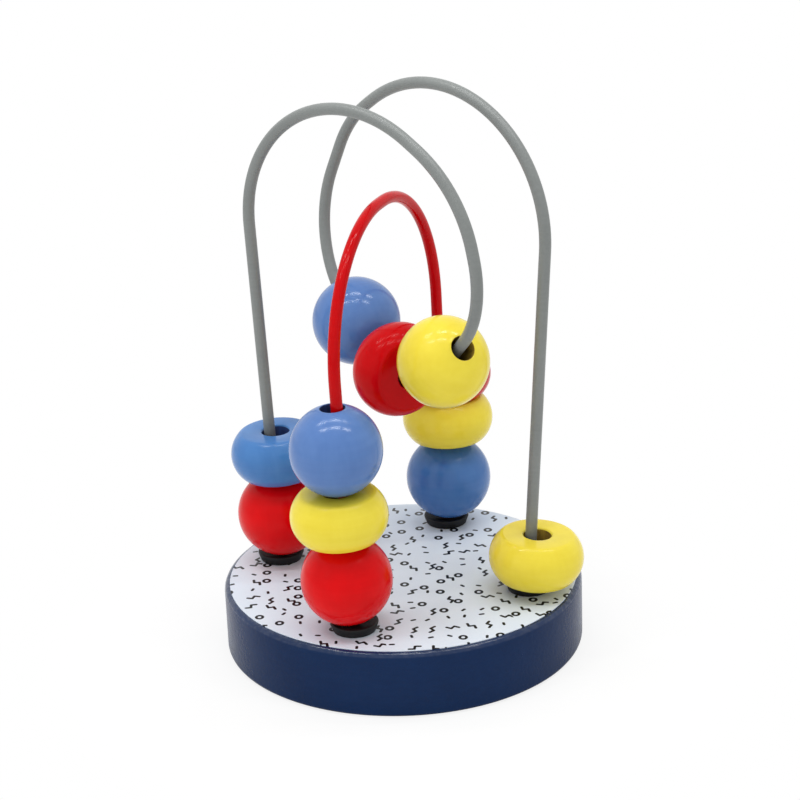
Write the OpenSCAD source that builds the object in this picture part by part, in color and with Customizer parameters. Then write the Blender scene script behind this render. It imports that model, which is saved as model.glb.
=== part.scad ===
// Bead maze: a round painted base, two bent wires on four feet and twelve wooden beads.
// The origin is the centre of the base's underside. The grey wire stands on the X axis, the red one on Y.

/* [Base] */
// Diameter of the round base
base_d = 100; // [90:1:130]
// Thickness of the base
base_h = 18.7; // [16:0.1:30]
// Rounding of the base's edges
base_edge = 1.5; // [0.5:0.1:4]
// Thickness of the printed sheet on top
sheet_t = 0.25; // [0.1:0.05:0.5]
// Distance from the base's edge to the middle of each foot
foot_inset = 13; // [10:0.5:20]

/* [Wires] */
// Outer diameter of the sleeve on both wires
wire_d = 3.2; // [2.6:0.1:4]
// Wall of the sleeve
sleeve_wall = 0.6; // [0.3:0.05:0.8]
// Length of bare core that goes on into the base below each bush
core_tail = 4; // [2:0.5:5]
// Bend radius of the wires just above the feet
foot_r = 30; // [10:1:60]

/* [Grey wire] */
// Corner above the left foot, as X, Y and height above the printed top
front_shoulder = [-41, -5, 166.5]; // [-60:0.5:200]
// Bend radius at that corner
front_shoulder_r = 35.5; // [25:0.5:40]
// Corner at the right end of the front hump
front_brow = [28.5, -24, 119]; // [-60:0.5:200]
// Bend radius at that corner
front_brow_r = 40.5; // [25:0.5:45]
// Bend radius where the front hump turns down into the valley
front_curl_r = 25; // [18:0.5:40]
// Corner above the right foot
back_shoulder = [48, 0, 175.5]; // [-60:0.5:200]
// Bend radius at that corner
back_shoulder_r = 37.5; // [25:0.5:42]
// Corner at the left end of the back hump
back_brow = [-20.5, 25, 123]; // [-60:0.5:200]
// Bend radius at that corner
back_brow_r = 30; // [25:0.5:45]
// Bend radius where the back hump turns down into the valley
back_curl_r = 31; // [18:0.5:42]
// Height of the valley's lowest point above the printed top
valley_floor = 62; // [54:0.5:68]
// Bend radius of the valley
valley_r = 43; // [36:0.5:46]
// Slope where the valley's arc ends
valley_slope = 44; // [35:0.5:50]
// Distance from the valley's middle to the corner at its front end
front_reach = 44; // [40:0.5:50]
// Distance from the valley's middle to the corner at its back end
back_reach = 45.5; // [42:0.5:50]
// How far the valley's middle stands off the base's middle, along X
valley_x = 1; // [-3:0.5:3]
// Direction of the valley's front end, turned from the X axis
valley_turn = -38.5; // [-60:0.5:-20]

/* [Red wire] */
// Height of the arch's centre line above the printed top
arch_h = 107; // [95:0.5:120]
// Half of the arch's width where the legs would meet its top
arch_half = 39.5; // [36:0.5:44]
// How far the top of the arch stands off the middle, along X
arch_lean = -2.5; // [-8:0.5:8]
// Bend radius of the arch
arch_r = 37; // [30:0.5:39]

/* [Bushes] */
// Diameter of the bush across its lip
bush_d = 13; // [11:0.5:16]
// Diameter of the bush where it meets the print
bush_foot_d = 11.5; // [8.5:0.5:12]
// Height of the bush above the print
bush_h = 2.7; // [2:0.1:4]
// Rounding radius of the lip
bush_lip = 0.6; // [0.3:0.05:0.8]
// Depth of the dish in the bush's top
bush_dish = 1.2; // [0.5:0.1:1.4]
// Diameter of the shank in the base
shank_d = 8; // [6:0.5:8]
// Length of the shank below the printed top
shank_l = 10; // [6:0.5:10]

/* [Beads] */
// Diameter of a ball bead
ball_d = 24.5; // [20:0.5:26]
// Diameter of a disc bead
disc_d = 26; // [22:0.5:28]
// Thickness of a disc bead
disc_t = 13.2; // [10:0.2:15]
// Radius of a disc's rounded side
disc_crown = 8.5; // [7.6:0.1:12]
// Countersink at the mouths of a disc's bore
disc_mouth = 0.4; // [0.2:0.1:1.5]
// How much wider than the wire a ball's bore is
ball_play = 3.2; // [2.8:0.1:4]
// How much wider than the wire a disc's bore is
disc_play = 4.4; // [3:0.1:5]
// Gap between the valley's disc and the ball in front of it
front_gap = 4.6; // [0.3:0.1:6]
// Gap between the valley's disc and the ball behind it
back_gap = 3.2; // [0.3:0.1:6]

/* [Fits] */
// Gap round fixed pieces that sit in one another
fit = 0.05; // [0.02:0.01:0.1]
// Gap between a bead and what it rests on
rest_gap = 0.2; // [0.15:0.05:0.5]
// Gap between a bead's bore and the wire on the side where it hangs
hang_gap = 0.4; // [0.3:0.05:0.8]

/* [Hidden] */
$fn = 64;

navy = "#1b325f";
paper = "#dfe6ee";
black = "#191a1c";
grey = "#82878a";
steel = "#b4b8bb";
red = "#c8202c";
yellow = "#ecdc58";
blue = "#7396d2";
disc_blue = "#558cce";

// Small excess that lets a cut run past a face
cut = 1;

// Shortest straight run between two bends, how far a bend laps into a run, and how much thinner it is
least_run = 2;
bend_lap = 0.6;
bend_step = 0.04;

// Heights
deck = base_h + sheet_t;
bush_top = deck + bush_h;
shank_z = deck - shank_l;
core_z = shank_z - core_tail;

// Diameters that follow from the wires
sleeve_bore = wire_d - 2 * sleeve_wall;
core_d = sleeve_bore - bend_step - 2 * fit;
ball_bore = wire_d + ball_play;
disc_bore = wire_d + disc_play;

// Feet, each the point where its wire leaves the bush
foot_reach = base_d / 2 - foot_inset;
left_foot = [-foot_reach, 0, bush_top];
right_foot = [foot_reach, 0, bush_top];
front_foot = [0, -foot_reach, bush_top];
rear_foot = [0, foot_reach, bush_top];
feet = [left_foot, right_foot, front_foot, rear_foot];

// The valley's arc and its end corners, in the upright plane at valley_turn
valley_low = deck + valley_floor;
valley_axis_z = valley_low + valley_r;
valley_corner = [valley_x, 0, valley_axis_z - valley_r / cos(valley_slope)];
function valley_end(turn, reach) =
    valley_corner + reach * [cos(turn), sin(turn), tan(valley_slope)];
front_curl = valley_end(valley_turn, front_reach);
back_curl = valley_end(valley_turn + 180, back_reach);

// Corners of the red arch
front_arch = [arch_lean, -arch_half, deck + arch_h];
rear_arch = [arch_lean, arch_half, deck + arch_h];

// Routes: each row is a corner and its bend radius. The ends have none.
function at_height(foot, z) = [foot[0], foot[1], z];
function above_deck(p) = p + [0, 0, deck];
function grey_route(end_z) = [
    [at_height(left_foot, end_z), 0],
    [left_foot, foot_r],
    [above_deck(front_shoulder), front_shoulder_r],
    [above_deck(front_brow), front_brow_r],
    [front_curl, front_curl_r],
    [valley_corner, valley_r],
    [back_curl, back_curl_r],
    [above_deck(back_brow), back_brow_r],
    [above_deck(back_shoulder), back_shoulder_r],
    [right_foot, foot_r],
    [at_height(right_foot, end_z), 0]
];
function red_route(end_z) = [
    [at_height(front_foot, end_z), 0],
    [front_foot, foot_r],
    [front_arch, arch_r],
    [rear_arch, arch_r],
    [rear_foot, foot_r],
    [at_height(rear_foot, end_z), 0]
];

// Geometry of a route. A bend is limited so that a straight run of least_run stays between two bends.
function unit(v) = v / norm(v);
function is_end(route, i) = i <= 0 || i >= len(route) - 1;
function run(route, i) = route[i + 1][0] - route[i][0];
function heading(route, i) = unit(run(route, i));
function bend(route, i) = is_end(route, i) ? 0 : acos(heading(route, i - 1) * heading(route, i));
function wanted(route, i) = route[i][1] * tan(bend(route, i) / 2);
function room(route, i) = norm(run(route, i)) - least_run;
function share(route, i) = room(route, i) / (wanted(route, i) + wanted(route, i + 1));
function ease(route, i) = is_end(route, i) ? 1 : min(1, share(route, i - 1), share(route, i));
function setback(route, i) = wanted(route, i) * ease(route, i);
function radius(route, i) = route[i][1] * ease(route, i);
function bend_start(route, i) = route[i][0] - setback(route, i) * heading(route, i - 1);
function run_start(route, i) = route[i][0] + setback(route, i) * heading(route, i);
function run_length(route, i) = norm(run(route, i)) - setback(route, i) - setback(route, i + 1);

// Matrix that takes X, Y and Z to three given directions and the origin to a point
function placed(x, y, z, origin) = [
    [x[0], y[0], z[0], origin[0]],
    [x[1], y[1], z[1], origin[1]],
    [x[2], y[2], z[2], origin[2]],
    [0, 0, 0, 1]
];

// Turns Z into a direction
module pointed(direction) {
    rotate([0, acos(direction[2]), atan2(direction[1], direction[0])]) children();
}

module straight_run(route, i, d) {
    translate(run_start(route, i))
        pointed(heading(route, i)) cylinder(h = run_length(route, i), d = d);
}

// A bend is a hair thinner than the runs and laps into both of them
module bent_corner(route, i, d) {
    arrive = heading(route, i - 1);
    axis = unit(cross(arrive, heading(route, i)));
    inward = cross(axis, arrive);
    centre = bend_start(route, i) + radius(route, i) * inward;
    lap_angle = atan(bend_lap / radius(route, i));
    multmatrix(placed(-inward, arrive, axis, centre))
        rotate([0, 0, -lap_angle])
            rotate_extrude(angle = bend(route, i) + 2 * lap_angle)
                translate([radius(route, i), 0]) circle(d = d - bend_step);
}

module bent_rod(route, d) {
    last = len(route) - 1;
    for (i = [0 : last - 1]) straight_run(route, i, d);
    for (i = [1 : last - 1]) bent_corner(route, i, d);
}

// Legs: the foot's point and the direction of the straight wire above it
left_leg = [left_foot, unit(above_deck(front_shoulder) - left_foot)];
right_leg = [right_foot, unit(above_deck(back_shoulder) - right_foot)];
front_leg = [front_foot, unit(front_arch - front_foot)];
rear_leg = [rear_foot, unit(rear_arch - rear_foot)];

// How far a bead hangs to one side of its wire
ball_hang = ball_play / 2 - hang_gap;
disc_hang = disc_play / 2 - hang_gap;

// Rest places, measured along a leg from its foot
lip_r = bush_d / 2 - bush_lip;
reach_over_lip = ball_d / 2 + bush_lip + rest_gap;
function lean(leg) = norm([leg[1][0], leg[1][1]]);
function ball_drift(leg) = ball_hang + lean(leg) * ball_d / 2;
function ball_seat(leg) = sqrt(pow(reach_over_lip, 2) - pow(lip_r - ball_drift(leg), 2)) - bush_lip;
function disc_seat(leg) = rest_gap + disc_t / 2 + lean(leg) * (bush_d / 2 + disc_hang);

// Distance between a ball and the disc next to it, where the ball sits in the disc's mouth
mouth_r = disc_bore / 2 + disc_mouth - (disc_hang - ball_hang);
ball_to_disc = disc_t / 2 + sqrt(pow(ball_d / 2 + rest_gap, 2) - pow(mouth_r, 2));

// Distance between two discs that lie on each other
disc_to_disc = disc_t + rest_gap;

// Beads on the valley's arc. Each hangs so far that the bent wire keeps hang_gap to the ends of its bore.
ball_half_bore = sqrt(pow(ball_d, 2) - pow(ball_bore, 2)) / 2;
function valley_sag(half_bore) = valley_r - sqrt(pow(valley_r, 2) - pow(half_bore, 2));
valley_ball_r = valley_r + ball_hang - valley_sag(ball_half_bore);
valley_disc_r = valley_r + disc_hang - valley_sag(disc_t / 2);
function valley_turn_to(gap) = asin((disc_t / 2 + gap + ball_d / 2) / valley_ball_r);

module on_leg(leg, along, hang) {
    translate(leg[0] + along * leg[1] + [hang, 0, 0]) pointed(leg[1]) children();
}

module in_valley(angle, depth) {
    translate([valley_x, 0, valley_axis_z])
        rotate([0, 0, valley_turn])
            rotate([0, -angle, 0])
                translate([0, 0, -depth])
                    rotate([0, 90, 0]) children();
}

module ball() {
    rotate_extrude()
        difference() {
            circle(d = ball_d);
            translate([-ball_d, -ball_d]) square([ball_d + ball_bore / 2, 2 * ball_d]);
        }
}

module disc() {
    rotate_extrude()
        difference() {
            intersection() {
                translate([disc_d / 2 - disc_crown, 0]) circle(disc_crown);
                translate([0, -disc_t / 2]) square([disc_d, disc_t]);
            }
            square([disc_bore, 2 * disc_t], center = true);
            for (side = [-1, 1]) disc_mouth_cut(side);
        }
    rotate_extrude() disc_core();
}

// Countersink of one mouth, seen in section
module disc_mouth_cut(side) {
    polygon([
        [0, side * (disc_t / 2 - disc_mouth)],
        [disc_bore / 2, side * (disc_t / 2 - disc_mouth)],
        [disc_bore / 2 + disc_mouth + cut, side * (disc_t / 2 + cut)],
        [0, side * (disc_t / 2 + cut)]
    ]);
}

// Part of the section between the bore and the middle of the crown's circle
module disc_core() {
    difference() {
        translate([0, -disc_t / 2]) square([disc_d / 2 - disc_crown, disc_t]);
        square([disc_bore, 2 * disc_t], center = true);
        for (side = [-1, 1]) disc_mouth_cut(side);
    }
}

// Flared bush with a rounded lip, a dished top and a shank in the base
module bush(foot) {
    color(black)
        translate([foot[0], foot[1], deck])
            rotate_extrude()
                difference() {
                    union() {
                        polygon([
                            [0, -shank_l], [shank_d / 2, -shank_l], [shank_d / 2, 0],
                            [bush_foot_d / 2, 0], [bush_d / 2, bush_h - bush_lip],
                            [lip_r, bush_h - bush_lip], [lip_r, bush_h], [0, bush_h - bush_dish]
                        ]);
                        translate([lip_r, bush_h - bush_lip]) circle(bush_lip);
                    }
                    translate([-wire_d, -shank_l - cut])
                        square([wire_d + wire_d / 2 + fit, shank_l + bush_h + 2 * cut]);
                }
}

module base() {
    core_hole = core_d / 2 + fit;
    color(navy)
        difference() {
            rotate_extrude() {
                translate([0, base_edge]) square([base_d / 2, base_h - 2 * base_edge]);
                square([base_d / 2 - base_edge, base_h]);
                for (z = [base_edge, base_h - base_edge])
                    translate([base_d / 2 - base_edge, z]) circle(base_edge);
            }
            for (foot = feet) {
                translate([foot[0], foot[1], shank_z - fit])
                    cylinder(h = base_h, r = shank_d / 2 + fit);
                translate([foot[0], foot[1], core_z - fit])
                    cylinder(h = base_h, r = core_hole);
            }
        }
}

module top_print() {
    color(paper)
        translate([0, 0, base_h])
            linear_extrude(sheet_t)
                difference() {
                    circle(base_d / 2 - base_edge);
                    for (foot = feet)
                        translate([foot[0], foot[1]]) circle(shank_d / 2 + fit);
                }
}

module left_bush() { bush(left_foot); }
module right_bush() { bush(right_foot); }
module front_bush() { bush(front_foot); }
module rear_bush() { bush(rear_foot); }

module grey_wire_core() { color(steel) bent_rod(grey_route(core_z), core_d); }
module red_wire_core() { color(steel) bent_rod(red_route(core_z), core_d); }
module grey_wire_sleeve() {
    color(grey)
        difference() {
            bent_rod(grey_route(shank_z), wire_d);
            bent_rod(grey_route(core_z), sleeve_bore);
        }
}
module red_wire_sleeve() {
    color(red)
        difference() {
            bent_rod(red_route(shank_z), wire_d);
            bent_rod(red_route(core_z), sleeve_bore);
        }
}

module left_red_ball() {
    color(red) on_leg(left_leg, ball_seat(left_leg), ball_hang) ball();
}
module left_blue_disc() {
    color(disc_blue) on_leg(left_leg, ball_seat(left_leg) + ball_to_disc, disc_hang) disc();
}
module right_yellow_disc() {
    color(yellow) on_leg(right_leg, disc_seat(right_leg), disc_hang) disc();
}
module front_red_ball() {
    color(red) on_leg(front_leg, ball_seat(front_leg), -ball_hang) ball();
}
module front_yellow_disc() {
    color(yellow) on_leg(front_leg, ball_seat(front_leg) + ball_to_disc, -disc_hang) disc();
}
module front_blue_ball() {
    color(blue) on_leg(front_leg, ball_seat(front_leg) + 2 * ball_to_disc, -ball_hang) ball();
}
module rear_blue_ball() {
    color(blue) on_leg(rear_leg, ball_seat(rear_leg), ball_hang) ball();
}
module rear_yellow_disc() {
    color(yellow) on_leg(rear_leg, ball_seat(rear_leg) + ball_to_disc, disc_hang) disc();
}
module rear_red_disc() {
    color(red) on_leg(rear_leg, ball_seat(rear_leg) + ball_to_disc + disc_to_disc, disc_hang) disc();
}
module valley_red_disc() { color(red) in_valley(0, valley_disc_r) disc(); }
module valley_yellow_ball() { color(yellow) in_valley(valley_turn_to(front_gap), valley_ball_r) ball(); }
module valley_blue_ball() { color(blue) in_valley(-valley_turn_to(back_gap), valley_ball_r) ball(); }

base();
top_print();
left_bush();
right_bush();
front_bush();
rear_bush();
grey_wire_core();
grey_wire_sleeve();
red_wire_core();
red_wire_sleeve();
left_red_ball();
left_blue_disc();
right_yellow_disc();
front_red_ball();
front_yellow_disc();
front_blue_ball();
rear_blue_ball();
rear_yellow_disc();
rear_red_disc();
valley_red_disc();
valley_yellow_ball();
valley_blue_ball();
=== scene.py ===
import math
import random

import bmesh
import bpy
from mathutils import Matrix, Vector


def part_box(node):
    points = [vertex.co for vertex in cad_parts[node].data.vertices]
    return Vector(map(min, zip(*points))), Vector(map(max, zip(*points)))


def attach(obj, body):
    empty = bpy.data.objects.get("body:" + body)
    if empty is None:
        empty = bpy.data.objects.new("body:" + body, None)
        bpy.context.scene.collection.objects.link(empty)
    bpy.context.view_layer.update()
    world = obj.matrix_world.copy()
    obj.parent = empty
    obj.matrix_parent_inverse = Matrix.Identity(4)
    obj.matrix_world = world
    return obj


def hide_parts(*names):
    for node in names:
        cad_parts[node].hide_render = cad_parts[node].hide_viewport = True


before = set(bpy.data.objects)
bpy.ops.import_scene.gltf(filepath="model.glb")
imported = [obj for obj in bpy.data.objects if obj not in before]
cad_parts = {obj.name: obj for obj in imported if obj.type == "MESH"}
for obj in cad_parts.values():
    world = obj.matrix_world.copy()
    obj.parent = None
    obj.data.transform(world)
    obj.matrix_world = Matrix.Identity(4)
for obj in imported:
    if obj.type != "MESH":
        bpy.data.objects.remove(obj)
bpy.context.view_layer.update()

mm = 0.001
scene = bpy.context.scene
print("frame loaded:", len(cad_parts), "solids")


# Colours are written as screen values from 0 to 255
def screen(red, green, blue):
    def lin(value):
        value /= 255
        return value / 12.92 if value <= 0.04045 else ((value + 0.055) / 1.055) ** 2.4
    return (lin(red), lin(green), lin(blue), 1)


# A socket with plain arithmetic on it
class Feed:
    def __init__(self, finish, socket):
        self.finish = finish
        self.socket = socket

    def math(self, operation, *others):
        return self.finish.node("ShaderNodeMath", {"operation": operation}, dict(enumerate((self, *others))))

    def __add__(self, other):
        return self.math("ADD", other)

    def __sub__(self, other):
        return self.math("SUBTRACT", other)

    def __rsub__(self, other):
        return self.math("MULTIPLY_ADD", -1, other)

    def __mul__(self, other):
        return self.math("MULTIPLY", other)

    def __abs__(self):
        return self.math("ABSOLUTE")

    # A noise as a swing to both sides of nothing
    def sway(self, reach):
        return (self - 0.5) * reach

    __radd__ = __add__
    __rmul__ = __mul__


# A material, or the world, that is built node by node
class Finish:
    def __init__(self, name, store=bpy.data.materials):
        self.material = store.new(name)
        self.material.use_nodes = True
        self.tree = self.material.node_tree
        self.tree.nodes.clear()

    def node(self, kind, settings, values, out=0):
        made = self.tree.nodes.new(kind)
        for key, value in settings.items():
            setattr(made, key, value)
        for key, value in values.items():
            if isinstance(value, Feed):
                self.tree.links.new(value.socket, made.inputs[key])
            else:
                made.inputs[key].default_value = value
        return Feed(self, made.outputs[out]) if made.outputs else None

    def coords(self):
        return self.node("ShaderNodeTexCoord", {}, {}, "Object")

    def attribute(self, name, out):
        return self.node("ShaderNodeAttribute", {"attribute_name": name}, {}, out)

    def part(self, vector, which):
        return self.node("ShaderNodeSeparateXYZ", {}, {0: vector}, which)

    def mapped(self, at, scale, turn=(0, 0, 0)):
        return self.node("ShaderNodeMapping", {}, {"Vector": at, "Scale": scale, "Rotation": turn})

    def noise(self, at, scale, detail=2, rough=0.5):
        return self.node("ShaderNodeTexNoise", {}, {
            "Vector": at, "Scale": scale, "Detail": detail, "Roughness": rough})

    def mixed(self, share, low, high):
        return self.node("ShaderNodeMix", {"data_type": "RGBA"}, {0: share, 6: low, 7: high}, 2)

    def step(self, value, low, high):
        return self.node("ShaderNodeMapRange", {"interpolation_type": "SMOOTHSTEP"}, {
            "Value": value, "From Min": low, "From Max": high, "To Min": 0, "To Max": 1})

    def bump(self, height, depth, strength):
        return self.node("ShaderNodeBump", {}, {
            "Height": height, "Distance": depth * mm, "Strength": strength})

    def close(self, values):
        shader = self.node("ShaderNodeBsdfPrincipled", {}, values)
        self.node("ShaderNodeOutputMaterial", {}, {"Surface": shader})
        return self.material


# Finishes

beadPaint = {
    "cloud": 0.9,           # how far the film of paint clouds in tone
    "grain": 0.3,           # how far the grain shows through it
    "lathe": 0.3,           # how far the turning marks show
    "cloudScale": 130,
    "grainScale": (700, 700, 70),
    "latheScale": (40, 40, 900),
    "peelScale": 420,
    "rough": 0.17,
    "roughGrain": 0.08,
    "roughCloud": 0.1,
    "relief": 0.07,         # mm
    "grainRelief": 0.1,
    "latheRelief": 0.16,
    "strength": 0.5,
}


# Brushed lacquer on turned wood. The grain runs along the bead's bore.
def paintedWood(name, deep, full, gloss):
    f = Finish(name)
    look = beadPaint
    at = f.attribute("turned", "Vector")
    cloud = f.noise(at, look["cloudScale"])
    fibre = f.noise(f.mapped(at, look["grainScale"]), 1)
    lathe = f.noise(f.mapped(at, look["latheScale"]), 1, 1)
    peel = f.noise(at, look["peelScale"], 1)
    share = 0.5 + cloud.sway(look["cloud"]) + fibre.sway(look["grain"]) + lathe.sway(look["lathe"])
    height = fibre * look["grainRelief"] + lathe * look["latheRelief"] + peel
    return f.close({
        "Base Color": f.mixed(share, deep, full),
        "Roughness": look["rough"] + fibre.sway(look["roughGrain"]) + cloud.sway(look["roughCloud"]),
        "Specular IOR Level": gloss,
        "Normal": f.bump(height, look["relief"], look["strength"]),
    })


boreLook = {
    "grainScale": (1400, 1400, 160),
    "patchScale": 400,
    "rough": 0.66,
    "roughGrain": 0.3,
    "gloss": 0.15,
    "relief": 0.12,         # mm
    "strength": 0.8,
    "stainFrom": 0.35,
    "stainTo": 0.65,
}


# Wall of a bore: thin paint over drilled wood, in colours darkened as painted shade inside the hole
def shadedBoreWood(name, bare, stained):
    f = Finish(name)
    look = boreLook
    at = f.attribute("turned", "Vector")
    fibre = f.noise(f.mapped(at, look["grainScale"]), 1, 3, 0.6)
    patch = f.noise(at, look["patchScale"], 3)
    share = f.step(fibre * 0.5 + patch * 0.5, look["stainFrom"], look["stainTo"])
    return f.close({
        "Base Color": f.mixed(share, bare, stained),
        "Roughness": look["rough"] + fibre.sway(look["roughGrain"]),
        "Specular IOR Level": look["gloss"],
        "Normal": f.bump(fibre + patch, look["relief"], look["strength"]),
    })


sleeveLook = {
    "drift": 0.9,           # slow change in tone along the wire
    "band": 0.5,            # faint bands across it
    "skin": 0.4,
    "driftScale": 45,
    "bandScale": 1100,
    "skinScale": 1300,
    "roughSkin": 0.16,
    "roughBand": 0.14,
    "bandRelief": 0.6,
    "skinRelief": 0.5,
    "strength": 0.6,
}


# Drawn plastic. The ripple is in mm.
def sleeveFinish(name, deep, full, rough, gloss, ripple):
    f = Finish(name)
    look = sleeveLook
    place = f.node("ShaderNodeCombineXYZ", {}, {"X": f.attribute("along", "Fac")})
    band = f.noise(place, look["bandScale"])
    drift = f.noise(place, look["driftScale"])
    skin = f.noise(f.coords(), look["skinScale"])
    share = 0.5 + drift.sway(look["drift"]) + band.sway(look["band"]) + skin.sway(look["skin"])
    height = band * look["bandRelief"] + drift + skin * look["skinRelief"]
    return f.close({
        "Base Color": f.mixed(share, deep, full),
        "Roughness": rough + skin.sway(look["roughSkin"]) + band.sway(look["roughBand"]),
        "Specular IOR Level": gloss,
        "Normal": f.bump(height, ripple, look["strength"]),
    })


basePaint = {
    "deep": screen(3, 28, 63),
    "full": screen(9, 43, 86),
    "cloud": 0.8,
    "grain": 0.4,
    "dust": 0.3,
    "cloudScale": 45,
    "grainScale": (60, 900, 900),
    "grainTurn": (0, 0, 0.5),
    "dustScale": 2600,
    "peelScale": 850,
    "rough": 0.22,
    "roughPeel": 0.16,
    "roughCloud": 0.1,
    "gloss": 0.12,
    "relief": 0.12,         # mm of orange peel
    "dustRelief": 0.25,
    "grainRelief": 0.2,
    "edgeFrom": 17.3,       # mm up, where the rounded top edge starts
    "edgeFade": 0.5,
    "edgeCoat": 0.8,
    "edgeGlint": 0.45,      # share of that coat that comes and goes with the orange peel
    "glintFrom": 0.4,
    "glintTo": 0.6,
    "edgeRough": 0.12,
    "strength": 0.6,
}


# The paint lies thicker and glossier on the rounded top edge
def navyPaint():
    f = Finish("navyPaint")
    look = basePaint
    at = f.coords()
    cloud = f.noise(at, look["cloudScale"], 3)
    peel = f.noise(at, look["peelScale"])
    dust = f.noise(at, look["dustScale"], 1)
    fibre = f.noise(f.mapped(at, look["grainScale"], look["grainTurn"]), 1, 3)
    share = 0.5 + cloud.sway(look["cloud"]) + fibre.sway(look["grain"]) + dust.sway(look["dust"])
    edge = f.step(f.part(at, 2), look["edgeFrom"] * mm, (look["edgeFrom"] + look["edgeFade"]) * mm)
    spots = f.step(peel, look["glintFrom"], look["glintTo"])
    glint = (1 - look["edgeGlint"]) + spots * look["edgeGlint"]
    height = peel + dust * look["dustRelief"] + fibre * look["grainRelief"]
    return f.close({
        "Base Color": f.mixed(share, look["deep"], look["full"]),
        "Roughness": look["rough"] + peel.sway(look["roughPeel"]) + cloud.sway(look["roughCloud"]),
        "Specular IOR Level": look["gloss"],
        "Coat Weight": edge * glint * look["edgeCoat"],
        "Coat Roughness": look["edgeRough"],
        "Normal": f.bump(height, look["relief"], look["strength"]),
    })


# Marks are laid out in cells, turned so that the sheet's rows run across the front
printLook = {
    "turn": math.radians(21.2),
    "cell": 4.9,            # mm across a cell
    "tall": 1.1,            # cells are this much deeper than wide
    "scatter": 0.72,
    "stroke": 0.08,         # half a line's width, in cells
    "soft": 0.01,           # softness of a line's edge
    "ring": 0.18,
    "dash": 0.09,
    "zigzag": ((0, 0), (0.11, 0.1), (0.32, -0.09)),
    "rings": 0.3,           # share of the cells with a ring
    "dashes": 0.66,         # share up to which the others have a dash
    "ink": screen(2, 2, 3),
    "paperDeep": screen(199, 209, 223),
    "paperFull": screen(218, 227, 236),
    "cloud": 1.2,
    "tooth": 0.6,
    "cloudScale": 40,
    "toothScale": 3000,
    "rough": 0.42,
    "roughTooth": 0.2,
    "inkGloss": 0.06,       # how much smoother the ink is
    "gloss": 0.2,
    "relief": 0.02,         # mm
    "inkRelief": 0.4,
    "strength": 0.6,
}


# How far a point is from a straight stroke
def strokeDistance(fromPoint, toPoint, x, y):
    run = Vector(toPoint) - Vector(fromPoint)
    px, py = x - fromPoint[0], y - fromPoint[1]
    along = px * (run.x / run.length_squared) + py * (run.y / run.length_squared)
    along = along.math("MAXIMUM", 0).math("MINIMUM", 1)
    dx, dy = px - along * run.x, py - along * run.y
    return (dx * dx + dy * dy).math("SQRT")


def printedMarks(f, at):
    look = printLook
    cell = look["cell"] * mm
    turned = f.node("ShaderNodeVectorRotate", {"rotation_type": "Z_AXIS"}, {
        "Vector": at, "Angle": -look["turn"]})
    flat = f.mapped(turned, (1 / cell, 1 / (cell * look["tall"]), 0))
    cells = {"Vector": flat, "Scale": 1, "Randomness": look["scatter"]}
    settings = {"voronoi_dimensions": "2D", "feature": "F1"}
    middle = f.node("ShaderNodeTexVoronoi", settings, cells, "Position")
    chance = f.node("ShaderNodeTexVoronoi", settings, cells, "Color")
    draw, spin = f.part(chance, 0), f.part(chance, 1)
    local = f.node("ShaderNodeVectorMath", {"operation": "SUBTRACT"}, {0: flat, 1: middle})
    local = f.node("ShaderNodeVectorRotate", {"rotation_type": "Z_AXIS"}, {
        "Vector": local, "Angle": spin * math.tau})
    across, up = f.part(local, 0), f.part(local, 1)
    away = f.node("ShaderNodeVectorMath", {"operation": "LENGTH"}, {0: local}, "Value")

    ring = abs(away - look["ring"])
    short = (abs(across) - look["dash"]).math("MAXIMUM", 0)
    dash = (short * short + up * up).math("SQRT")
    # A zigzag is the same on both sides of its middle, turned half round
    side = across.math("SIGN")
    halfX, halfY = across * side, up * side
    first, second, third = look["zigzag"]
    inner = strokeDistance(first, second, halfX, halfY)
    outer = strokeDistance(second, third, halfX, halfY)
    isRing = draw.math("LESS_THAN", look["rings"])
    isDash = draw.math("LESS_THAN", look["dashes"])
    mark = isDash * dash + (1 - isDash) * inner.math("MINIMUM", outer)
    mark = isRing * ring + (1 - isRing) * mark
    return 1 - f.step(mark, look["stroke"] - look["soft"], look["stroke"] + look["soft"])


def printedSheet():
    f = Finish("printedSheet")
    look = printLook
    at = f.coords()
    ink = printedMarks(f, at)
    tooth = f.noise(at, look["toothScale"])
    cloud = f.noise(at, look["cloudScale"])
    share = 0.5 + cloud.sway(look["cloud"]) + tooth.sway(look["tooth"])
    paper = f.mixed(share, look["paperDeep"], look["paperFull"])
    return f.close({
        "Base Color": f.mixed(ink, paper, look["ink"]),
        "Roughness": look["rough"] + tooth.sway(look["roughTooth"]) - ink * look["inkGloss"],
        "Specular IOR Level": look["gloss"],
        "Normal": f.bump(tooth + ink * look["inkRelief"], look["relief"], look["strength"]),
    })


bushLook = {
    "clean": screen(14, 14, 16),
    "dusty": screen(32, 33, 35),
    "skinScale": 1800,
    "dustScale": 260,
    "rough": 0.58,
    "roughSkin": 0.3,
    "gloss": 0.3,
    "relief": 0.05,         # mm
    "strength": 0.6,
    "dustFrom": 0.4,
    "dustTo": 0.75,
}


def bushRubber():
    f = Finish("bushRubber")
    look = bushLook
    at = f.coords()
    skin = f.noise(at, look["skinScale"], 3)
    dust = f.noise(at, look["dustScale"], 3)
    share = f.step(dust * 0.7 + skin * 0.3, look["dustFrom"], look["dustTo"])
    return f.close({
        "Base Color": f.mixed(share, look["clean"], look["dusty"]),
        "Roughness": look["rough"] + skin.sway(look["roughSkin"]),
        "Specular IOR Level": look["gloss"],
        "Normal": f.bump(skin, look["relief"], look["strength"]),
    })


steelLook = {
    "deep": screen(150, 154, 158),
    "full": screen(196, 200, 203),
    "drawnScale": (3000, 3000, 120),
    "rough": 0.3,
    "roughDrawn": 0.2,
    "relief": 0.01,         # mm
    "strength": 0.4,
}


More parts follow.
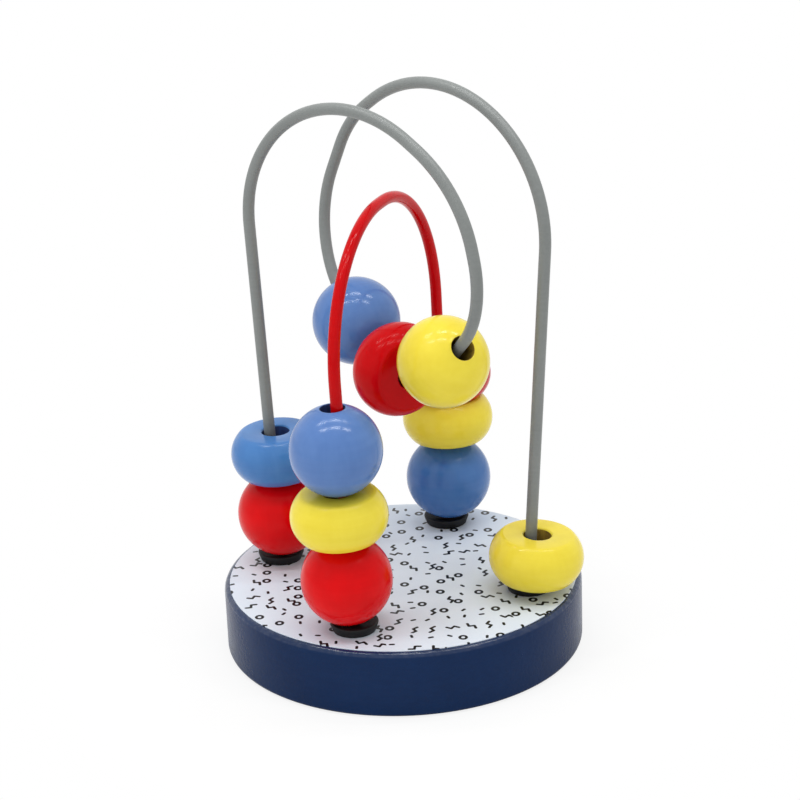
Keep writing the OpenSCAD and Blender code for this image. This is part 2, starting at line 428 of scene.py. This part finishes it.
def bareSteel():
    f = Finish("bareSteel")
    look = steelLook
    drawn = f.noise(f.mapped(f.coords(), look["drawnScale"]), 1)
    return f.close({
        "Base Color": f.mixed(drawn, look["deep"], look["full"]),
        "Metallic": 1.0,
        "Roughness": look["rough"] + drawn.sway(look["roughDrawn"]),
        "Normal": f.bump(drawn, look["relief"], look["strength"]),
    })


# Some red and blue beads get darker copies of their lacquer: painted shade for beads that sit in the shade of
# others
finishes = {
    "red": paintedWood("redLacquer", screen(198, 3, 8), screen(224, 8, 14), 0.11),
    "shadedRed": paintedWood("shadedRedLacquer", screen(176, 3, 8), screen(202, 8, 14), 0.08),
    "yellow": paintedWood("yellowLacquer", screen(225, 203, 52), screen(239, 221, 76), 0.19),
    "blue": paintedWood("blueLacquer", screen(71, 108, 168), screen(91, 128, 186), 0.32),
    "shadedBlue": paintedWood("shadedBlueLacquer", screen(54, 99, 162), screen(74, 119, 180), 0.3),
    "discBlue": paintedWood("discBlueLacquer", screen(58, 110, 172), screen(78, 130, 190), 0.26),
    # Bore walls: the bead paint darkened as painted shade inside the holes, mixed with the drilled wood
    "redBore": shadedBoreWood("redBore", screen(134, 22, 20), screen(166, 8, 12)),
    "yellowBore": shadedBoreWood("yellowBore", screen(104, 82, 34), screen(150, 124, 44)),
    "blueBore": shadedBoreWood("blueBore", screen(36, 46, 78), screen(38, 60, 112)),
    "greySleeve": sleeveFinish("greySleeve", screen(113, 117, 116), screen(134, 138, 136), 0.34, 0.42, 0.02),
    "redSleeve": sleeveFinish("redSleeve", screen(176, 3, 8), screen(202, 7, 13), 0.13, 0.09, 0.012),
    "navy": navyPaint(),
    "print": printedSheet(),
    "bush": bushRubber(),
    "steel": bareSteel(),
}
print("finishes made:", len(finishes))


# Mesh helpers

meshing = {
    "merge": 0.001,         # mm
    "cut": 0.0001,          # mm
    "slack": 0.01,          # mm
    "sharp": 50,            # degrees
}


def keepPiece(name, bm, body, nodes, looks):
    mesh = bpy.data.meshes.new(name)
    bm.to_mesh(mesh)
    bm.free()
    for look in looks:
        mesh.materials.append(finishes[look])
    mesh.shade_smooth()
    mesh.set_sharp_from_angle(angle=math.radians(meshing["sharp"]))
    piece = bpy.data.objects.new(name, mesh)
    scene.collection.objects.link(piece)
    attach(piece, body)
    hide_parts(*nodes)


def tidyMesh(bm):
    bmesh.ops.remove_doubles(bm, verts=bm.verts, dist=meshing["merge"] * mm)
    bmesh.ops.recalc_face_normals(bm, faces=bm.faces)


def bevelled(bm, edges, offset, segments):
    bmesh.ops.bevel(bm, geom=edges, offset=offset * mm, offset_type="OFFSET", affect="EDGES",
                    segments=segments, profile=0.5, material=-1, clamp_overlap=True)


def flatRadius(point):
    return math.hypot(point.x, point.y)


# Edges that run round the Z axis at a radius and height in mm
def hoops(bm, radius, height):
    def there(vert):
        aside, above = flatRadius(vert.co) - radius * mm, vert.co.z - height * mm
        return max(abs(aside), abs(above)) < meshing["slack"] * mm
    return [edge for edge in bm.edges if there(edge.verts[0]) and there(edge.verts[1])]


# A round block between two heights in mm
def roundBlock(bm, radius, low, high, sides, x=0, y=0):
    middle = Vector((x, y, (low + high) / 2)) * mm
    bmesh.ops.create_cone(bm, cap_ends=True, segments=sides, radius1=radius * mm, radius2=radius * mm,
                          depth=(high - low) * mm, matrix=Matrix.Translation(middle))


# Base and printed sheet

baseBlock = {
    "radius": 50,
    "height": 18.7,
    "edge": 1.5,            # rounding at the top and bottom
    "edgeSteps": 6,
    "sides": 240,
    "footRing": 37,         # from the middle to each foot
    "shankHole": 4.05,
    "shankFloor": 8.9,
    "shankSides": 48,
    "coreHole": 0.98,
    "coreFloor": 4.9,
    "coreSides": 24,
    "drillAbove": 5,
}
sheet = {"thick": 0.25, "edge": 0.08, "edgeSteps": 2, "drillPast": 2}
deck = baseBlock["height"] + sheet["thick"]


def footAt(x, y, height):
    return Vector((x * baseBlock["footRing"], y * baseBlock["footRing"], height))


footPlaces = {"left": (-1, 0), "right": (1, 0), "front": (0, -1), "rear": (0, 1)}


def drill(bm, radius, low, high, sides):
    for place in footPlaces.values():
        foot = footAt(*place, 0)
        roundBlock(bm, radius, low, high, sides, foot.x, foot.y)


# Cuts the drilled shapes out of a block, as a finished mesh
def cutOut(block, drilled):
    objects = []
    for name, bm in (("block", block), ("drill", drilled)):
        mesh = bpy.data.meshes.new(name)
        bm.to_mesh(mesh)
        bm.free()
        part = bpy.data.objects.new(name, mesh)
        scene.collection.objects.link(part)
        objects.append(part)
    cut = objects[0].modifiers.new("cut", "BOOLEAN")
    cut.operation = "DIFFERENCE"
    cut.solver = "EXACT"
    cut.use_self = True
    cut.object = objects[1]
    bpy.context.view_layer.update()
    done = objects[0].evaluated_get(bpy.context.evaluated_depsgraph_get()).to_mesh()
    bm = bmesh.new()
    bm.from_mesh(done)
    for part in objects:
        bpy.data.objects.remove(part)
    return bm


def makeBase():
    shape = baseBlock
    radius, height = shape["radius"], shape["height"]
    block = bmesh.new()
    roundBlock(block, radius, 0, height, shape["sides"])
    bevelled(block, hoops(block, radius, 0) + hoops(block, radius, height), shape["edge"], shape["edgeSteps"])
    drilled = bmesh.new()
    above = height + shape["drillAbove"]
    drill(drilled, shape["shankHole"], shape["shankFloor"], above, shape["shankSides"])
    drill(drilled, shape["coreHole"], shape["coreFloor"], above, shape["coreSides"])
    keepPiece("baseBlock", cutOut(block, drilled), "frame", ["base"], ["navy"])


def makeSheet():
    low, past = baseBlock["height"], sheet["drillPast"]
    radius = baseBlock["radius"] - baseBlock["edge"]
    block = bmesh.new()
    roundBlock(block, radius, low, deck, baseBlock["sides"])
    bevelled(block, hoops(block, radius, deck), sheet["edge"], sheet["edgeSteps"])
    drilled = bmesh.new()
    drill(drilled, baseBlock["shankHole"], low - past, deck + past, baseBlock["shankSides"])
    keepPiece("printedSheet", cutOut(block, drilled), "frame", ["top_print"], ["print"])


makeBase()
makeSheet()
print("base and sheet made")


# Bushes

bushShape = {
    "lip": 6.5,
    "foot": 5.75,
    "height": 2.7,
    "round": 0.6,           # size of the rounded lip
    "lipShare": 0.85,       # share of that size rounded off at the lip's outside
    "lipSteps": 4,
    "rimShare": 0.4,        # and at its inside
    "rimSteps": 3,
    "rimDrop": 0.15,
    "footRound": 0.2,
    "footSteps": 2,
    "dish": 1.2,
    "shank": 4.0,
    "shankLength": 10.0,
    "bore": 1.65,
    "sides": 64,
}


# A section of a few corners, turned once round
def turnedRound(section, sides):
    bm = bmesh.new()
    verts = [bm.verts.new((radius * mm, 0, height * mm)) for radius, height in section]
    edges = [bm.edges.new(pair) for pair in zip(verts, verts[1:] + verts[:1])]
    bmesh.ops.spin(bm, geom=verts + edges, cent=(0, 0, 0), axis=(0, 0, 1), dvec=(0, 0, 0),
                   angle=math.tau, steps=sides, use_merge=True)
    tidyMesh(bm)
    return bm


def makeBush(side):
    shape = bushShape
    bore, lip, top, soft = shape["bore"], shape["lip"], shape["height"], shape["round"]
    rim, rimTop = lip - 2 * soft, top - shape["rimDrop"]
    dishFloor = top - shape["dish"] * (1 - bore / (lip - soft))
    bm = turnedRound([
        (bore, -shape["shankLength"]), (shape["shank"], -shape["shankLength"]),
        (shape["shank"], 0), (shape["foot"], 0), (lip, top - soft), (lip, top),
        (rim, rimTop), (bore, dishFloor),
    ], shape["sides"])
    bevelled(bm, hoops(bm, lip, top), soft * shape["lipShare"], shape["lipSteps"])
    bevelled(bm, hoops(bm, rim, rimTop), soft * shape["rimShare"], shape["rimSteps"])
    bevelled(bm, hoops(bm, shape["foot"], 0), shape["footRound"], shape["footSteps"])
    bmesh.ops.translate(bm, vec=footAt(*footPlaces[side], deck) * mm, verts=bm.verts)
    keepPiece(side + "Bush", bm, "frame", [side + "_bush"], ["bush"])


for side in footPlaces:
    makeBush(side)
print("bushes made")


# Wires, with heights above the sheet

valley = {
    "x": 1,
    "floor": 62,
    "radius": 43,
    "slope": 44,            # degrees, of the runs on both sides
    "turn": -38.5,          # degrees, seen from above
    "front": 44,            # from the middle to the front corner, seen from above
    "frontCurl": 25,        # radius of the bend there
    "back": 45.5,
    "backCurl": 31,
}
arch = {"height": 107, "half": 39.5, "lean": -2.5, "radius": 37}
tube = {
    "diameter": 3.2,
    "wall": 0.6,
    "footBend": 30,         # radius of the bend over a foot
    "leastRun": 2,          # straight run that is left between two bends
    "stepLength": 1.6,      # from ring to ring in a bend
    "sides": 32,
}


def aboveSheet(x, y, height):
    return Vector((x, y, deck + height))


def valleyEnd(reach, turn):
    slope, turn = math.radians(valley["slope"]), math.radians(turn)
    low = valley["floor"] + valley["radius"] * (1 - 1 / math.cos(slope))
    across = valley["x"] + reach * math.cos(turn)
    return aboveSheet(across, reach * math.sin(turn), low + reach * math.tan(slope))


# A wire's way up out of a foot
def wireFoot(side):
    low, high = deck - bushShape["shankLength"], deck + bushShape["height"]
    return [(footAt(*footPlaces[side], low), 0), (footAt(*footPlaces[side], high), tube["footBend"])]


# Corners of each wire, with the radius that it is bent to there
greyRoute = wireFoot("left") + [
    (aboveSheet(-41, -5, 166.5), 35.5),
    (aboveSheet(28.5, -24, 119), 40.5),
    (valleyEnd(valley["front"], valley["turn"]), valley["frontCurl"]),
    (valleyEnd(0, 0), valley["radius"]),
    (valleyEnd(valley["back"], valley["turn"] + 180), valley["backCurl"]),
    (aboveSheet(-20.5, 25, 123), 30),
    (aboveSheet(48, 0, 175.5), 37.5),
] + wireFoot("right")[::-1]
redRoute = wireFoot("front") + [
    (aboveSheet(arch["lean"], -arch["half"], arch["height"]), arch["radius"]),
    (aboveSheet(arch["lean"], arch["half"], arch["height"]), arch["radius"]),
] + wireFoot("rear")[::-1]


# Each bend is eased where two bends would meet
def easedBends(route):
    points = [point for point, radius in route]
    last = len(points) - 1
    heads = [(points[i + 1] - points[i]).normalized() for i in range(last)]
    angles = [0] + [heads[i - 1].angle(heads[i]) for i in range(1, last)] + [0]
    wanted = [route[i][1] * math.tan(angles[i] / 2) for i in range(last + 1)]
    shares = [((points[i + 1] - points[i]).length - tube["leastRun"]) / (wanted[i] + wanted[i + 1])
              for i in range(last)]
    bends = []
    for i in range(1, last):
        ease = min(1, shares[i - 1], shares[i])
        bends.append((points[i], heads[i - 1], heads[i], angles[i], route[i][1] * ease, wanted[i] * ease))
    return points[0], bends, points[last]


# A ring is drawn along the straight runs and turned round each bend
def makeSleeve(name, route, node, look):
    bm = bmesh.new()
    along = bm.verts.layers.float.new("along")
    start, bends, end = easedBends(route)
    made = bmesh.ops.create_circle(bm, cap_ends=False, radius=tube["diameter"] / 2, segments=tube["sides"])
    head = bends[0][1]
    place = Matrix.Translation(start) @ head.to_track_quat("Z", "Y").to_matrix().to_4x4()
    bmesh.ops.transform(bm, matrix=place, verts=made["verts"])
    state = {"edges": list(bm.edges), "at": start.copy(), "length": 0.0}

    def drawRing(travel):
        grown = bmesh.ops.extrude_edge_only(bm, edges=state["edges"])["geom"]
        verts = [part for part in grown if isinstance(part, bmesh.types.BMVert)]
        fresh = set(verts)
        state["edges"] = [part for part in grown if isinstance(part, bmesh.types.BMEdge)
                          and part.verts[0] in fresh and part.verts[1] in fresh]
        state["length"] += travel
        for vert in verts:
            vert[along] = state["length"] * mm
        return verts

    def drawStraight(target):
        travel = target - state["at"]
        bmesh.ops.translate(bm, vec=travel, verts=drawRing(travel.length))
        state["at"] = target.copy()

    for corner, arrive, leave, angle, radius, setback in bends:
        drawStraight(corner - arrive * setback)
        axis = arrive.cross(leave).normalized()
        centre = state["at"] + axis.cross(arrive) * radius
        steps = max(2, round(radius * angle / tube["stepLength"]))
        turn = Matrix.Rotation(angle / steps, 3, axis)
        for _ in range(steps):
            bmesh.ops.rotate(bm, cent=centre, matrix=turn, verts=drawRing(radius * angle / steps))
        state["at"] = corner + leave * setback
    drawStraight(end)
    bmesh.ops.scale(bm, vec=(mm, mm, mm), verts=bm.verts)
    tidyMesh(bm)
    bmesh.ops.solidify(bm, geom=bm.faces[:], thickness=tube["wall"] * mm)
    keepPiece(name, bm, "frame", [node], [look])
    print(name, "drawn,", round(state["length"]), "mm long")


makeSleeve("greySleeve", greyRoute, "grey_wire_sleeve", "greySleeve")
makeSleeve("redSleeve", redRoute, "red_wire_sleeve", "redSleeve")
for node in ("grey_wire_core", "red_wire_core"):
    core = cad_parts[node]
    core.data.materials.clear()
    core.data.materials.append(finishes["steel"])


# Beads

ballShape = {"diameter": 24.5, "bore": 6.4, "rim": 0.45, "rimSteps": 3, "around": 96, "down": 64}
discShape = {
    "diameter": 26,
    "thick": 13.2,
    "crown": 8.5,           # radius of the rounded side
    "crownSteps": 24,
    "shoulder": 0.7,
    "shoulderSteps": 6,
    "bore": 7.6,
    "wallReach": 1.02,      # faces within this share of the bore's radius are its wall
    "mouth": 0.4,
    "mouthRound": 0.15,
    "mouthSteps": 2,
    "around": 96,
}


def ballMesh():
    shape = ballShape
    bm = bmesh.new()
    radius, bore = shape["diameter"] / 2 * mm, shape["bore"] / 2 * mm
    bmesh.ops.create_uvsphere(bm, u_segments=shape["around"], v_segments=shape["down"], radius=radius)
    cutHeight = math.sqrt(radius ** 2 - bore ** 2)
    for way in (-1, 1):
        bmesh.ops.bisect_plane(bm, geom=bm.verts[:] + bm.edges[:] + bm.faces[:], dist=meshing["cut"] * mm,
                               plane_co=(0, 0, way * cutHeight), plane_no=(0, 0, way), clear_outer=True)
    rims = [edge for edge in bm.edges if edge.is_boundary]
    wall = bmesh.ops.bridge_loops(bm, edges=rims)["faces"]
    tidyMesh(bm)
    for face in wall:
        face.material_index = 1
    rims = [edge for edge in bm.edges if len({face.material_index for face in edge.link_faces}) == 2]
    bevelled(bm, rims, shape["rim"], shape["rimSteps"])
    tidyMesh(bm)
    return bm


def discMesh():
    shape = discShape
    bm = bmesh.new()
    half = shape["thick"] / 2
    swing = math.asin(half / shape["crown"])
    middle = shape["diameter"] / 2 - shape["crown"]
    flat = middle + shape["crown"] * math.cos(swing)
    first = bm.verts.new((flat * mm, 0, half * mm))
    # The crowned side is swept from the top edge to the bottom one
    bmesh.ops.spin(bm, geom=[first], cent=(middle * mm, 0, 0), axis=(0, 1, 0), dvec=(0, 0, 0),
                   angle=2 * swing, steps=shape["crownSteps"])
    lowest = min(bm.verts, key=lambda vert: vert.co.z)
    bore, mouth = shape["bore"] / 2, shape["bore"] / 2 + shape["mouth"]
    inside = [(mouth, half), (bore, half - shape["mouth"]), (bore, shape["mouth"] - half), (mouth, -half)]
    chain = [first] + [bm.verts.new((r * mm, 0, z * mm)) for r, z in inside] + [lowest]
    for pair in zip(chain, chain[1:]):
        bm.edges.new(pair)
    bmesh.ops.spin(bm, geom=bm.verts[:] + bm.edges[:], cent=(0, 0, 0), axis=(0, 0, 1), dvec=(0, 0, 0),
                   angle=math.tau, steps=shape["around"], use_merge=True)
    tidyMesh(bm)
    for face in bm.faces:
        if flatRadius(face.calc_center_median()) < bore * shape["wallReach"] * mm:
            face.material_index = 1
    for way in (-1, 1):
        bevelled(bm, hoops(bm, flat, way * half), shape["shoulder"], shape["shoulderSteps"])
        bevelled(bm, hoops(bm, mouth, way * half), shape["mouthRound"], shape["mouthSteps"])
    tidyMesh(bm)
    return bm


# Which way each straight leg runs up
legs = {
    "left": (greyRoute[2][0] - greyRoute[1][0]).normalized(),
    "right": (greyRoute[-3][0] - greyRoute[-2][0]).normalized(),
    "front": (redRoute[2][0] - redRoute[1][0]).normalized(),
    "rear": (redRoute[-3][0] - redRoute[-2][0]).normalized(),
}


# In the valley a bead lies along the arc that it hangs on
def valleyLie(middle):
    turn = math.radians(valley["turn"])
    axis = Vector((math.sin(turn), -math.cos(turn), 0))
    hub = aboveSheet(valley["x"], 0, valley["floor"] + valley["radius"]) * mm
    return axis.cross(middle - hub).normalized()


def makeBead(stack, colour, kind, look):
    body = f"{stack}_{colour}"
    node = f"{body}_{kind}"
    low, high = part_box(node)
    middle = (low + high) / 2
    axis = legs[stack] if stack in legs else valleyLie(middle)
    bm = ballMesh() if kind == "ball" else discMesh()
    turned = bm.verts.layers.float_vector.new("turned")
    seed = Vector([dice.uniform(-0.5, 0.5) for _ in range(3)])
    for vert in bm.verts:
        vert[turned] = vert.co + seed
    lie = Matrix.Translation(middle) @ axis.to_track_quat("Z", "Y").to_matrix().to_4x4()
    bmesh.ops.transform(bm, matrix=lie, verts=bm.verts)
    name = stack + colour.title() + kind.title()
    keepPiece(name, bm, body, [node], [look, colour + "Bore"])


dice = random.Random(7)
beadRows = [
    ("left", "red", "ball", "red"),
    ("left", "blue", "disc", "discBlue"),
    ("right", "yellow", "disc", "yellow"),
    ("front", "red", "ball", "red"),
    ("front", "yellow", "disc", "yellow"),
    ("front", "blue", "ball", "blue"),
    # The rear blue ball takes the darker blue lacquer copy as painted shade
    ("rear", "blue", "ball", "shadedBlue"),
    ("rear", "yellow", "disc", "yellow"),
    # The red discs take the darker red lacquer copy as painted shade
    ("rear", "red", "disc", "shadedRed"),
    ("valley", "red", "disc", "shadedRed"),
    ("valley", "yellow", "ball", "yellow"),
    ("valley", "blue", "ball", "blue"),
]
for row in beadRows:
    makeBead(*row)
print("beads made:", len(beadRows))


# Floor, light and camera

floorCard = {
    "colour": (0.88, 0.88, 0.88, 1),
    "reach": 4,             # metres
    "drop": 0.05,           # mm under the toy
    "whiteNear": 0.82,      # share of the floor's own white beside the toy; the rest takes its shadow
    "whiteFrom": 0.055,     # metres from the middle where the floor starts to turn all white
    "whiteAt": 0.11,
}


def layFloor():
    bm = bmesh.new()
    bmesh.ops.create_grid(bm, x_segments=8, y_segments=8, size=floorCard["reach"])
    bmesh.ops.translate(bm, vec=(0, 0, -floorCard["drop"] * mm), verts=bm.verts)
    mesh = bpy.data.meshes.new("floor")
    bm.to_mesh(mesh)
    bm.free()
    f = Finish("floorCard")
    card = f.node("ShaderNodeBsdfDiffuse", {}, {"Color": floorCard["colour"]})
    white = f.node("ShaderNodeEmission", {}, {"Color": (1, 1, 1, 1), "Strength": 1})
    seen = f.node("ShaderNodeLightPath", {}, {}, "Is Camera Ray")
    away = f.node("ShaderNodeVectorMath", {"operation": "LENGTH"}, {0: f.coords()}, "Value")
    near = floorCard["whiteNear"]
    share = near + (1 - near) * f.step(away, floorCard["whiteFrom"], floorCard["whiteAt"])
    both = f.node("ShaderNodeMixShader", {}, {0: seen * share, 1: card, 2: white})
    f.node("ShaderNodeOutputMaterial", {}, {"Surface": both})
    mesh.materials.append(f.material)
    floor = bpy.data.objects.new("floor", mesh)
    scene.collection.objects.link(floor)


skyToObject = 0.72


# The sky is white to look at and in reflections, and lights the toy a little less
def lightSky():
    f = Finish("studio", bpy.data.worlds)
    rays = ("Camera", "Glossy", "Transmission")
    seen = [f.node("ShaderNodeLightPath", {}, {}, f"Is {ray} Ray") for ray in rays]
    white = seen[0].math("MAXIMUM", seen[1]).math("MAXIMUM", seen[2])
    level = skyToObject + white * (1 - skyToObject)
    sky = f.node("ShaderNodeBackground", {}, {"Color": (1, 1, 1, 1), "Strength": level})
    f.node("ShaderNodeOutputWorld", {}, {"Surface": sky})
    scene.world = f.material


photoView = {
    "azimuth": 21.2,        # degrees, like the next two
    "elevation": 20.51,
    "roll": 2.21,
    "away": 622.1,          # mm from the point that is looked at
    "across": 1.04,         # mm, that point to the right of the middle
    "height": 70.54,        # mm
    "focal": 2282.8,        # in pixels of the photo
    "pixels": 800,
}
# Lengths of the lamps are in mm
strips = {
    "height": 640,
    "depths": (-50, 170),   # how far each strip stands towards the camera
    "parts": (-270, 0, 270),
    "size": (210, 26),
    "watts": 0.46,
}
fill = {"place": Vector((-420, -560, 330)), "aim": Vector((0, 0, 60)), "size": (420, 420), "watts": 0.7}


def hangLamp(name, place, turn, settings):
    lamp = bpy.data.lights.new(name, "AREA")
    lamp.shape = "RECTANGLE"
    lamp.size, lamp.size_y = (side * mm for side in settings["size"])
    lamp.energy = settings["watts"]
    hung = bpy.data.objects.new(name, lamp)
    hung.location = place * mm
    hung.rotation_euler = turn
    scene.collection.objects.link(hung)
    return hung


# Two broken strips overhead lie across the view, and a soft fill stands at the front left
def hangLamps():
    turn = math.radians(photoView["azimuth"])
    right = Vector((math.cos(turn), math.sin(turn), 0))
    near = Vector((math.sin(turn), -math.cos(turn), 0))
    up = Vector((0, 0, strips["height"]))
    for row, depth in enumerate(strips["depths"]):
        for part, across in enumerate(strips["parts"]):
            hangLamp(f"strip{row}{part}", up + near * depth + right * across, (0, 0, turn), strips)
    aim = (fill["aim"] - fill["place"]).to_track_quat("-Z", "Y").to_euler()
    soft = hangLamp("fill", fill["place"], aim, fill)
    soft.visible_glossy = False


def setCamera():
    turn, tilt, roll = (math.radians(photoView[key]) for key in ("azimuth", "elevation", "roll"))
    right = Vector((math.cos(turn), math.sin(turn), 0))
    ahead = Vector((-math.sin(turn) * math.cos(tilt), math.cos(turn) * math.cos(tilt), -math.sin(tilt)))
    up = right.cross(ahead)
    target = right * photoView["across"] + Vector((0, 0, photoView["height"]))
    rolledRight = right * math.cos(roll) - up * math.sin(roll)
    rolledUp = right * math.sin(roll) + up * math.cos(roll)
    lens = bpy.data.cameras.new("photoCamera")
    lens.sensor_width = 36
    lens.lens = photoView["focal"] * lens.sensor_width / photoView["pixels"]
    lens.clip_start, lens.clip_end = 0.01, 20
    camera = bpy.data.objects.new("photoCamera", lens)
    basis = Matrix((rolledRight, rolledUp, -ahead)).transposed()
    camera.matrix_world = Matrix.Translation((target - ahead * photoView["away"]) * mm) @ basis.to_4x4()
    scene.collection.objects.link(camera)
    scene.camera = camera


layFloor()
lightSky()
hangLamps()
setCamera()
scene.view_settings.view_transform = "Standard"
print("stage set")
